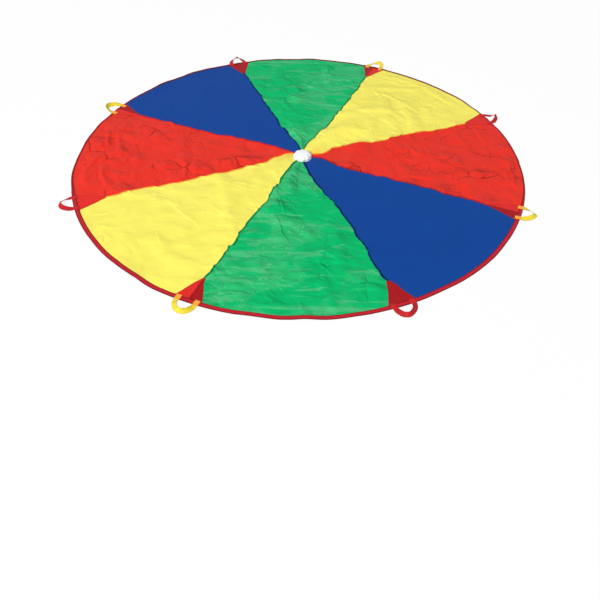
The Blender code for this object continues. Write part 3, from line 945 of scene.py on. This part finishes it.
for seam in range(8):
    body = "far_half" if seam < 4 else "near_half"
    azimuth = (seam + 0.5) * GORE_ANGLE
    radius = np.linspace(RIM_RADIUS - PATCH_DEPTH, GORE_OUTER, PATCH_ROWS)[:, None]
    edge_share = np.sin(np.linspace(-math.pi / 2, math.pi / 2, PATCH_COLUMNS)) * 0.35
    edge_share = edge_share + np.linspace(-1, 1, PATCH_COLUMNS) * 0.65
    half_width = patch_half_width(radius)
    offset = edge_share * half_width
    turn = azimuth + offset / radius
    level = patch_level(offset, half_width)
    points = lay(*polar(radius, turn), level)
    pattern = np.stack([offset, np.broadcast_to(radius, offset.shape)], axis=-1)
    # The cloth below shows through a little: the patch looks darker over green and blue.
    dark_before = GORE_COLOURS[seam % 4] in DARK_CLOTH
    dark_after = GORE_COLOURS[(seam + 1) % 4] in DARK_CLOTH
    past_seam = smooth(offset, -0.004, 0.004)
    layers = dark_before * (1 - past_seam) + dark_after * past_seam
    layers = np.maximum(layers, 0.35 * (1 - smooth(half_width - np.abs(offset), 0.004, 0.007)))
    patch = cloth_from_rows(f"corner_patch_{seam + 1}", points, pattern, layers, PATCH_CLOTH)
    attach(patch, body)
    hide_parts(f"handle_{seam + 1}_corner_patch")

    runs = []
    out = np.arange(RIM_RADIUS - PATCH_DEPTH + 0.004, RIM_RADIUS - 0.021, 0.002)
    for sign in (-1, 1):
        side = sign * (patch_half_width(out) - 0.004)
        high = patch_level(side, patch_half_width(out))
        runs.append(run_round(out, azimuth + side / out, high))
    threads = stitched(f"patch_stitching_{seam + 1}", runs, SEAM_THREADS[3])
    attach(threads, body)

# Rim tape. A strip of red cloth, folded lengthwise round the edge of the canopy and sewn through
# near its inner edge. It rises over the corner patches and the seams, and puckers a little.
TAPE_WIDTH = 0.023
TAPE_SECTION = [
    (-0.0222, 0.00030), (-0.0230, 0.00045), (-0.0231, 0.00070), (-0.0226, 0.00095),
    (-0.0212, 0.00100), (-0.0196, 0.00085), (-0.0170, 0.00130), (-0.0135, 0.00185),
    (-0.0100, 0.00215), (-0.0065, 0.00205), (-0.0035, 0.00165), (-0.0014, 0.00110),
    (-0.0003, 0.00050), (0.0000, 0.0), (-0.0003, -0.00045), (-0.0014, -0.00075),
    (-0.0060, -0.00090), (-0.0120, -0.00090), (-0.0180, -0.00090), (-0.0222, -0.00085),
    (-0.0230, -0.00065), (-0.0224, -0.00040),
]
TAPE_TOP_POINTS = 14
TAPE_STATIONS = 1280
# Its doubled colour is also the painted shade at the tape's edges and where it has rolled.
TAPE_CLOTH = taffeta(
    "tape_cloth", (0.57, 0.018, 0.030), (0.14, 0.005, 0.009), 40, 0.030, specular=0.06
)


def tape_cover(azimuth):
    """How much the tape's top is raised by the patch and the seam that it encloses."""
    offset = (azimuth % GORE_ANGLE - GORE_ANGLE / 2) * RIM_RADIUS
    half = PATCH_WIDTH / 2
    over_patch = 0.0009 * (1 - smooth(np.abs(offset), half - 0.002, half + 0.006))
    return over_patch + over_seam(offset, 0.0018)


def tape_rolled(azimuth):
    """1 where the edge has rolled inwards, so that less of the tape's top is seen, 0 elsewhere."""
    degrees = np.degrees(azimuth) % 360
    return 1 - smooth(degrees, 190, 205) * (1 - smooth(degrees, 332, 350))


def tape_inset(azimuth):
    """How much narrower the tape's top is where it has rolled: least on the far side."""
    return (0.60 - 0.28 * smooth(np.sin(azimuth), 0.4, 0.8)) * tape_rolled(azimuth)


around = np.linspace(0, 2 * math.pi, TAPE_STATIONS + 1)[:, None]
section = np.array(TAPE_SECTION)
top_side = smooth(section[:, 1], 0.0, 0.0004)
drawn = np.where(np.arange(len(section)) < TAPE_TOP_POINTS, -1, 1)
radius = RIM_RADIUS + section[:, 0] * (1 + drawn * tape_inset(around))
pucker = 0.00025 * soft_noise(around * RIM_RADIUS, 0 * around, 0.009, 41)
pucker = pucker + 0.00025 * soft_noise(around * RIM_RADIUS, 0 * around, 0.021, 42)
pucker[-1] = pucker[0]
level = section[:, 1] + top_side * (tape_cover(around) + pucker)
points = lay(*polar(radius, around), level)
points[-1] = points[0]
girth = np.concatenate([[0], np.cumsum(np.linalg.norm(np.diff(section, axis=0), axis=1))])
pattern = np.stack([girth + 0 * around, around * RIM_RADIUS + 0 * girth], axis=-1)
# Its two edges take the dark doubled colour: partly the cloth folded over itself, partly painted
# shade of the stitch groove and the rounded outer fold. Where the edge has rolled inwards, the
# whole tape gets painted shade too, darkest on the far side.
edges = 1 - smooth(section[:, 0], -0.0222, -0.0175) + smooth(section[:, 0], -0.0070, -0.0015)
edges = np.maximum(edges, tape_rolled(around) * (0.65 + 0.45 * smooth(np.sin(around), 0.4, 0.8)))
rim_tape = cloth_from_rows(
    "rim_tape", points[:, ::-1], pattern[:, ::-1], edges[:, ::-1], TAPE_CLOTH
)
bpy.ops.object.select_all(action="DESELECT")
bpy.context.view_layer.objects.active = rim_tape
rim_tape.select_set(True)
bpy.ops.object.mode_set(mode="EDIT")
bpy.ops.mesh.select_all(action="SELECT")
bpy.ops.mesh.remove_doubles(threshold=0.00001)
bpy.ops.object.mode_set(mode="OBJECT")
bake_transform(rim_tape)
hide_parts("rim_tape_far", "rim_tape_near")

turn = np.linspace(0, 2 * math.pi, 3600)
out = RIM_RADIUS - 0.0200 * (1 - tape_inset(turn))
rim_run = run_round(out, turn, 0.00085 + tape_cover(turn))
rim_threads = stitched("rim_stitching", [rim_run], SEAM_THREADS[3])
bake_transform(rim_threads)

# Hand loops. Each is one strip of woven webbing. Both ends are turned under and sewn down flat
# over the tape, and the loop between them twists, so that it stands on edge at its tip.
WEBBING_WIDTH = 0.025
WEBBING_THICKNESS = 0.0015
HANDLE_SPACING = 0.090
HINGE_RADIUS = 1.219817
HINGE_LEVEL = 0.00475
END_LENGTH = 0.029


RIB_PITCH = 0.0031


def webbing_material(name, colour, painted_edge_shade, end_colour):
    """Flat woven webbing, with ribs across it, and painted shade along its two edges. Its sewn ends
    take on some colour from below.
    """
    material, tree, shader = new_material(name, 0.15)
    flat = add_node(tree, "ShaderNodeUVMap", uv_map="flat_pattern").outputs[0]
    yarn = use_group(tree, weave_group, {"Flat Pattern": flat, "Threads": 620.0})
    across = add_node(tree, "ShaderNodeSeparateXYZ", {0: flat}).outputs["X"]
    ribs = math_node(tree, "MULTIPLY", across, 2 * math.pi / RIB_PITCH)
    height = math_node(tree, "MULTIPLY_ADD", math_node(tree, "SINE", ribs), 0.35, yarn.outputs[0])
    # Painted shade: the colour darkens towards both edges of the webbing.
    edge = range_node(tree, math_node(tree, "ABSOLUTE", across), 0.0095, 0.0125)
    with_painted_edge_shade = mix_colours(tree, edge, colour, painted_edge_shade)
    sewn = add_node(tree, "ShaderNodeAttribute", attribute_name="layers").outputs["Fac"]
    dye(tree, shader, mix_colours(tree, sewn, with_painted_edge_shade, end_colour), 60.0, 0.12)
    shader.inputs["Roughness"].default_value = 0.62
    links = {"Height": height, "Strength": 0.5, "Distance": 0.0004}
    woven = add_node(tree, "ShaderNodeBump", links)
    tree.links.new(woven.outputs[0], shader.inputs["Normal"])
    return material


# Per webbing: its colour, the darker colour of the painted shade along its edges, and the colour of
# its sewn ends.
WEBBING = [
    webbing_material(
        "red_webbing", (0.52, 0.014, 0.019), (0.19, 0.005, 0.009), (0.60, 0.017, 0.020)
    ),
    webbing_material(
        "yellow_webbing", (0.85, 0.66, 0.040), (0.62, 0.45, 0.022), (0.95, 0.42, 0.05)
    ),
]
WEBBING_THREADS = [
    thread_material("red_webbing_thread", (0.62, 0.05, 0.05)),
    thread_material("yellow_webbing_thread", (0.90, 0.62, 0.10)),
]
# The shape of each loop: how far it reaches, how far its tip leans to its left, how far the tip is
# raised, the roll of its left leg, tip and right leg in degrees from flat, outer edge down, and
# how straight its left and its right leg are. The roll is less where the edge that stands up would
# meet the canopy when the loop is folded in.
LOOPS = [
    (0.062, 0.002, 0.002, 2, 66, 40, 0.9, 0.5),
    (0.051, -0.013, 0.006, 17, -35, -25, 0.5, 0.0),
    (0.057, -0.014, 0.004, 58, 52, 12, 0.0, 0.9),
    (0.056, 0.008, 0.002, -42, -80, -40, 0.2, 0.0),
    (0.060, -0.004, 0.001, 22, 60, 75, 0.1, 0.5),
    (0.062, 0.008, 0.003, 34, 70, 30, 0.1, 0.1),
    (0.060, -0.010, 0.002, 40, 66, 28, 0.2, 0.2),
    (0.064, 0.008, 0.001, 36, 35, 48, 1.0, 0.0),
]
LOOP_SHARES = np.linspace(0, 1, 61)
STRAIGHT_CORNER = 0.15
STRAIGHT_REACH = 1.0112
FOLD_IN_SLOPE = 0.364


def loop_path(
    reach, lean, raise_tip, left_roll, tip_roll, right_roll, left_straight, right_straight
):
    """Middle line and across direction, from the hinge out round the tip and back to it."""
    share = LOOP_SHARES
    turn = np.pi * share
    rounded = np.sin(turn)
    straight = STRAIGHT_REACH - np.sqrt(np.cos(turn) ** 2 + STRAIGHT_CORNER**2)
    straight = straight / (STRAIGHT_REACH - STRAIGHT_CORNER)
    straightness = np.where(share < 0.5, left_straight, right_straight)
    x = reach * (rounded + (straight - rounded) * straightness)
    y = HANDLE_SPACING / 2 * np.cos(turn) + lean * np.sin(turn) ** 2
    turned = np.interp(share, [0, 0.06, 0.20, 0.80, 0.94, 1], [0, 0.3, 1, 1, 0.3, 0])
    degrees = np.interp(share, [0.32, 0.5, 0.68], [left_roll, tip_roll, right_roll])
    roll = np.radians(degrees) * turned
    kernel = np.hanning(11)
    kernel /= kernel.sum()
    roll = np.convolve(np.pad(roll, 5, mode="edge"), kernel, mode="valid")
    room = 0.0006 + FOLD_IN_SLOPE * x - raise_tip * np.sin(turn) ** 2
    inner_up = np.arcsin(np.clip(room / WEBBING_WIDTH, 0, 1))
    outer_up = np.arcsin(np.clip((room + 0.0045) / WEBBING_WIDTH, 0, 1))
    roll = np.clip(roll, -outer_up, inner_up)
    to_floor = WEBBING_WIDTH / 2 * np.abs(np.sin(roll)) + 0.0018 - HINGE_LEVEL
    z = to_floor * smooth(x, 0.0, np.where(to_floor > 0, 0.006, 0.03))
    z += raise_tip * np.sin(turn) ** 2
    path = np.stack([x, y, z], axis=1)
    ahead = np.gradient(path, axis=0)
    outward = np.stack([-ahead[:, 1], ahead[:, 0], 0 * share], axis=1)
    outward /= np.linalg.norm(outward, axis=1, keepdims=True)
    down = np.array([0, 0, -1.0])
    across = outward * np.cos(roll)[:, None] + down * np.sin(roll)[:, None]
    return path, across


def beside_hinge(azimuth, x, y):
    """The flat place that is x outside a loop's hinge and y to its left."""
    radial = HINGE_RADIUS + x
    u = radial * math.cos(azimuth) - y * math.sin(azimuth)
    v = radial * math.sin(azimuth) + y * math.cos(azimuth)
    return u, v


def sewn_level(u, v):
    """How high the middle of a sewn end lies: on the patch, and higher on the tape."""
    tape_edge = RIM_RADIUS - TAPE_WIDTH
    return 0.0017 + 0.0011 * smooth(np.hypot(u, v), tape_edge - 0.004, tape_edge + 0.003)


def sewn_end(azimuth, x, side):
    """A sewn end, laid on the patch and the tape, in rows at these places outside the hinge."""
    y = side * HANDLE_SPACING / 2 - side * WEBBING_ACROSS
    u, v = beside_hinge(azimuth, x[:, None], y)
    return lay(u, v, sewn_level(u, v))


WEBBING_ACROSS = np.linspace(-0.5, 0.5, 13) * WEBBING_WIDTH
LEG_FADE = 0.04
BLEND_LENGTH = 0.008
for number in range(8):
    half = "far_half" if number < 4 else "near_half"
    azimuth = (number + 0.5) * GORE_ANGLE
    out_way = np.array([math.cos(azimuth), math.sin(azimuth), 0])
    left_way = np.array([-math.sin(azimuth), math.cos(azimuth), 0])
    ways = np.array([out_way, left_way, (0, 0, 1)])
    path, across = loop_path(*LOOPS[number])
    end_x = np.linspace(-END_LENGTH, -0.0012, 16)
    left_end = sewn_end(azimuth, end_x, 1)
    right_end = sewn_end(azimuth, end_x[::-1], -1)
    centre = (path + (HINGE_RADIUS, 0, HINGE_LEVEL)) @ ways
    loop = centre[:, None] - WEBBING_ACROSS[:, None] * (across @ ways)[:, None]
    # The legs start at the height of the sewn ends and come to their own height further out.
    left_gap = (left_end[-1] - loop[0]).mean(axis=0)[2]
    right_gap = (right_end[0] - loop[-1]).mean(axis=0)[2]
    gap = np.where(LOOP_SHARES <= 0.5, left_gap, right_gap)
    loop[..., 2] += (gap * (1 - smooth(path[:, 0], 0.0, LEG_FADE)))[:, None]
    strip = np.concatenate([left_end, loop, right_end])
    steps = np.linalg.norm(np.diff(strip.mean(axis=1), axis=0), axis=1)
    along = np.concatenate([[0], np.cumsum(steps)])[:, None]
    pattern = np.stack([WEBBING_ACROSS + 0 * along, along + 0 * WEBBING_ACROSS], axis=-1)
    ends = np.ones(len(end_x))
    sewn = np.concatenate([ends, 1 - smooth(path[:, 0], 0, BLEND_LENGTH), ends])
    webbing = cloth_from_rows(
        f"hand_loop_{number + 1}", strip, pattern, sewn[:, None], WEBBING[number % 2]
    )
    solidify = webbing.modifiers.new("Thickness", "SOLIDIFY")
    solidify.thickness = WEBBING_THICKNESS
    solidify.offset = 0
    bevel = webbing.modifiers.new("Selvedge", "BEVEL")
    bevel.width = 0.0005
    bevel.segments = 2
    bevel.limit_method = "ANGLE"
    bpy.ops.object.select_all(action="DESELECT")
    bpy.context.view_layer.objects.active = webbing
    webbing.select_set(True)
    bpy.ops.object.modifier_apply(modifier="Thickness")
    bpy.ops.object.modifier_apply(modifier="Selvedge")
    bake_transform(webbing)
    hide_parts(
        f"handle_{number + 1}_loop",
        f"handle_{number + 1}_sewn_end_left",
        f"handle_{number + 1}_sewn_end_right",
    )

    runs = []
    for side in (1, -1):
        box = [(-0.0265, -0.0095), (-0.0035, -0.0095), (-0.0035, 0.0095), (-0.0265, 0.0095)]
        box += [(-0.0265, -0.0095), (-0.0035, 0.0095)]
        for (x0, y0), (x1, y1) in zip(box, box[1:]):
            share = np.linspace(0, 1, 12)
            y = side * HANDLE_SPACING / 2 + y0 + (y1 - y0) * share
            u, v = beside_hinge(azimuth, x0 + (x1 - x0) * share, y)
            runs.append(np.stack([u, v, sewn_level(u, v) + WEBBING_THICKNESS / 2], axis=1))
    threads = stitched(f"handle_stitching_{number + 1}", runs, WEBBING_THREADS[number % 2])
    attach(threads, half)

# Centre patch underneath. A disc of white cloth that backs the place where the gores meet.
ring = np.array([0.0005, 0.012, 0.025, 0.040, 0.054, 0.060, 0.0616, 0.0620, 0.0617, 0.0600])
ring = ring[:, None]
level = np.array([0.0009, 0.0009, 0.0009, 0.0009, 0.0009, 0.00085, 0.0007, 0.0005, 0.0003, 0.0002])
turn = np.linspace(0, 2 * math.pi, 97)
points = np.stack([*polar(ring, turn), level[:, None] + 0 * turn], axis=-1)
pattern = points[..., :2].copy()
WHITE_CLOTH = taffeta("white_taffeta", (0.93, 0.95, 0.94), (0.88, 0.89, 0.88), 40, 0.040)
under = cloth_from_rows("centre_patch_underneath_cloth", points, pattern, 0.0, WHITE_CLOTH)
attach(under, "far_half")
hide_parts("centre_patch_underneath")

# Centre cap. A round of white cloth with some stuffing below it, drawn in at its edge where the
# eight seams meet it, so that it swells between them.
CAP_RADIUS = 0.050
CAP_HEIGHT = 0.030
CAP_BASE = 0.0014
CAP_RINGS = [
    (0.10, 1.0), (0.25, 0.995), (0.40, 0.975), (0.55, 0.93), (0.70, 0.84), (0.82, 0.72),
    (0.92, 0.56), (0.98, 0.40), (1.00, 0.26), (0.97, 0.13), (0.90, 0.04), (0.80, 0.0),
]
bpy.ops.object.select_all(action="DESELECT")
bpy.ops.mesh.primitive_circle_add(
    vertices=128,
    radius=CAP_RADIUS * CAP_RINGS[0][0],
    fill_type="TRIFAN",
    location=(0, 0, CAP_HEIGHT + CAP_BASE),
)
cap = bpy.context.object
cap.name = "centre_cap_cloth"
bpy.ops.object.transform_apply(location=True, rotation=True, scale=True)
bpy.ops.object.mode_set(mode="EDIT")
bpy.ops.mesh.select_mode(type="EDGE")
bpy.ops.mesh.select_all(action="SELECT")
bpy.ops.mesh.region_to_loop()
for (wide, high), (next_wide, next_high) in zip(CAP_RINGS, CAP_RINGS[1:]):
    bpy.ops.mesh.extrude_edges_move(
        TRANSFORM_OT_translate={"value": (0, 0, (next_high - high) * CAP_HEIGHT)}
    )
    grow = next_wide / wide
    bpy.ops.transform.resize(value=(grow, grow, 1), center_override=(0, 0, 0))
bpy.ops.object.mode_set(mode="OBJECT")
place = np.zeros(len(cap.data.vertices) * 3)
cap.data.vertices.foreach_get("co", place)
place = place.reshape(-1, 3)
radius = np.hypot(place[:, 0], place[:, 1])
turn = np.arctan2(place[:, 1], place[:, 0])
notch = 1 - np.abs(np.cos(turn * 4))
pleats = np.cos(turn * 40 + 1.3 * np.sin(turn * 5))
far_out = smooth(radius, 0.015, 0.050)
scale = 1 - 0.12 * notch**2 * far_out - 0.018 * pleats * far_out
place[:, :2] *= scale[:, None]
high_share = (place[:, 2] - CAP_BASE) / CAP_HEIGHT
place[:, 2] -= 0.0035 * notch * far_out * high_share
place[:, 2] += 0.0010 * soft_noise(place[:, 0], place[:, 1], 0.017, 51) * high_share
place[:, 2] += 0.0018 * smooth(place[:, 0] * 0.6 + place[:, 1] * 0.8, 0.010, 0.040) * high_share
cap.data.vertices.foreach_set("co", place.ravel())
uv = cap.data.uv_layers.new(name="flat_pattern")
loop_vertex = np.zeros(len(cap.data.loops), int)
cap.data.loops.foreach_get("vertex_index", loop_vertex)
uv.data.foreach_set("uv", place[loop_vertex, :2].astype(np.float32).ravel())
bpy.ops.object.mode_set(mode="EDIT")
bpy.ops.mesh.select_all(action="SELECT")
bpy.ops.mesh.normals_make_consistent(inside=False)
bpy.ops.object.mode_set(mode="OBJECT")
cap.data.shade_smooth()
cap.data.materials.append(WHITE_CLOTH)
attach(cap, "far_half")
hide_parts("centre_cap")

# Studio. A white floor that keeps the canopy's shadow, a white surround, and soft lamps.
bpy.ops.object.select_all(action="DESELECT")
bpy.ops.mesh.primitive_plane_add(size=60, location=(0, 0, 0))
floor = bpy.context.object
floor.name = "studio_floor"
floor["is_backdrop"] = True
floor_material, tree, shader = new_material("studio_white", 0.0)
shader.inputs["Base Color"].default_value = (0.96, 0.96, 0.96, 1)
shader.inputs["Roughness"].default_value = 0.9
rays = add_node(tree, "ShaderNodeLightPath").outputs
seen = math_node(tree, "MAXIMUM", rays["Is Camera Ray"], rays["Is Glossy Ray"])
seen = math_node(tree, "MAXIMUM", seen, rays["Is Transmission Ray"])
share = math_node(tree, "MULTIPLY", seen, 0.88)
glow = add_node(tree, "ShaderNodeEmission", {"Color": (1, 1, 1, 1), "Strength": 1.0})
blend_node = add_node(
    tree, "ShaderNodeMixShader", {0: share, 1: shader.outputs[0], 2: glow.outputs[0]}
)
tree.links.new(blend_node.outputs[0], tree.nodes["Material Output"].inputs["Surface"])
floor.data.materials.append(floor_material)

world = bpy.data.worlds.new("studio_surround")
bpy.context.scene.world = world
world.use_nodes = True
tree = world.node_tree
rays = add_node(tree, "ShaderNodeLightPath").outputs
surround = tree.nodes["Background"]
surround.inputs["Color"].default_value = (1, 1, 1, 1)
seen = math_node(tree, "MAXIMUM", rays["Is Camera Ray"], rays["Is Transmission Ray"])
LOWEST_SURROUND = 0.53
strength = math_node(tree, "MULTIPLY_ADD", seen, 1 - LOWEST_SURROUND, LOWEST_SURROUND)
tree.links.new(strength, surround.inputs["Strength"])


def lamp(name, place, aim, size, power):
    data = bpy.data.lights.new(name, "AREA")
    data.size = size
    data.energy = power
    obj = bpy.data.objects.new(name, data)
    bpy.context.collection.objects.link(obj)
    obj.location = place
    obj.rotation_euler = (Vector(aim) - Vector(place)).to_track_quat("-Z", "Y").to_euler()


lamp("soft_key", (-8.4, -12.0, 10.5), (0, 0, 0), 5.0, 2400)
lamp("soft_fill", (6.0, 4.0, 7.0), (0, 0, 0), 4.0, 40)

# Camera. At the photograph's place, 1.87 m above the floor, looking down at 46 degrees.
CAMERA_PLACE = (0.0726, -2.8952, 1.8725)
CAMERA_YAW = math.radians(2.69)
CAMERA_PITCH = math.radians(46.13)
CAMERA_ROLL = math.radians(2.93)
lens = bpy.data.cameras.new("camera")
lens.sensor_width = 36
lens.lens = 36.18
lens.shift_x = -0.0544
camera = bpy.data.objects.new("camera", lens)
bpy.context.collection.objects.link(camera)
ahead = Vector(
    (
        math.sin(CAMERA_YAW) * math.cos(CAMERA_PITCH),
        math.cos(CAMERA_YAW) * math.cos(CAMERA_PITCH),
        -math.sin(CAMERA_PITCH),
    )
)
right = Vector((math.cos(CAMERA_YAW), -math.sin(CAMERA_YAW), 0))
up = right.cross(ahead)
rolled_right = math.cos(CAMERA_ROLL) * right + math.sin(CAMERA_ROLL) * up
rolled_up = math.cos(CAMERA_ROLL) * up - math.sin(CAMERA_ROLL) * right
turned = Matrix((rolled_right, rolled_up, -ahead)).transposed()
camera.matrix_world = Matrix.Translation(CAMERA_PLACE) @ turned.to_4x4()
bpy.context.scene.camera = camera
bpy.context.scene.view_settings.view_transform = "Standard"

low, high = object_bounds()
sizes = {"cad": [list(cad_low), list(cad_high)], "visual": [list(low), list(high)]}
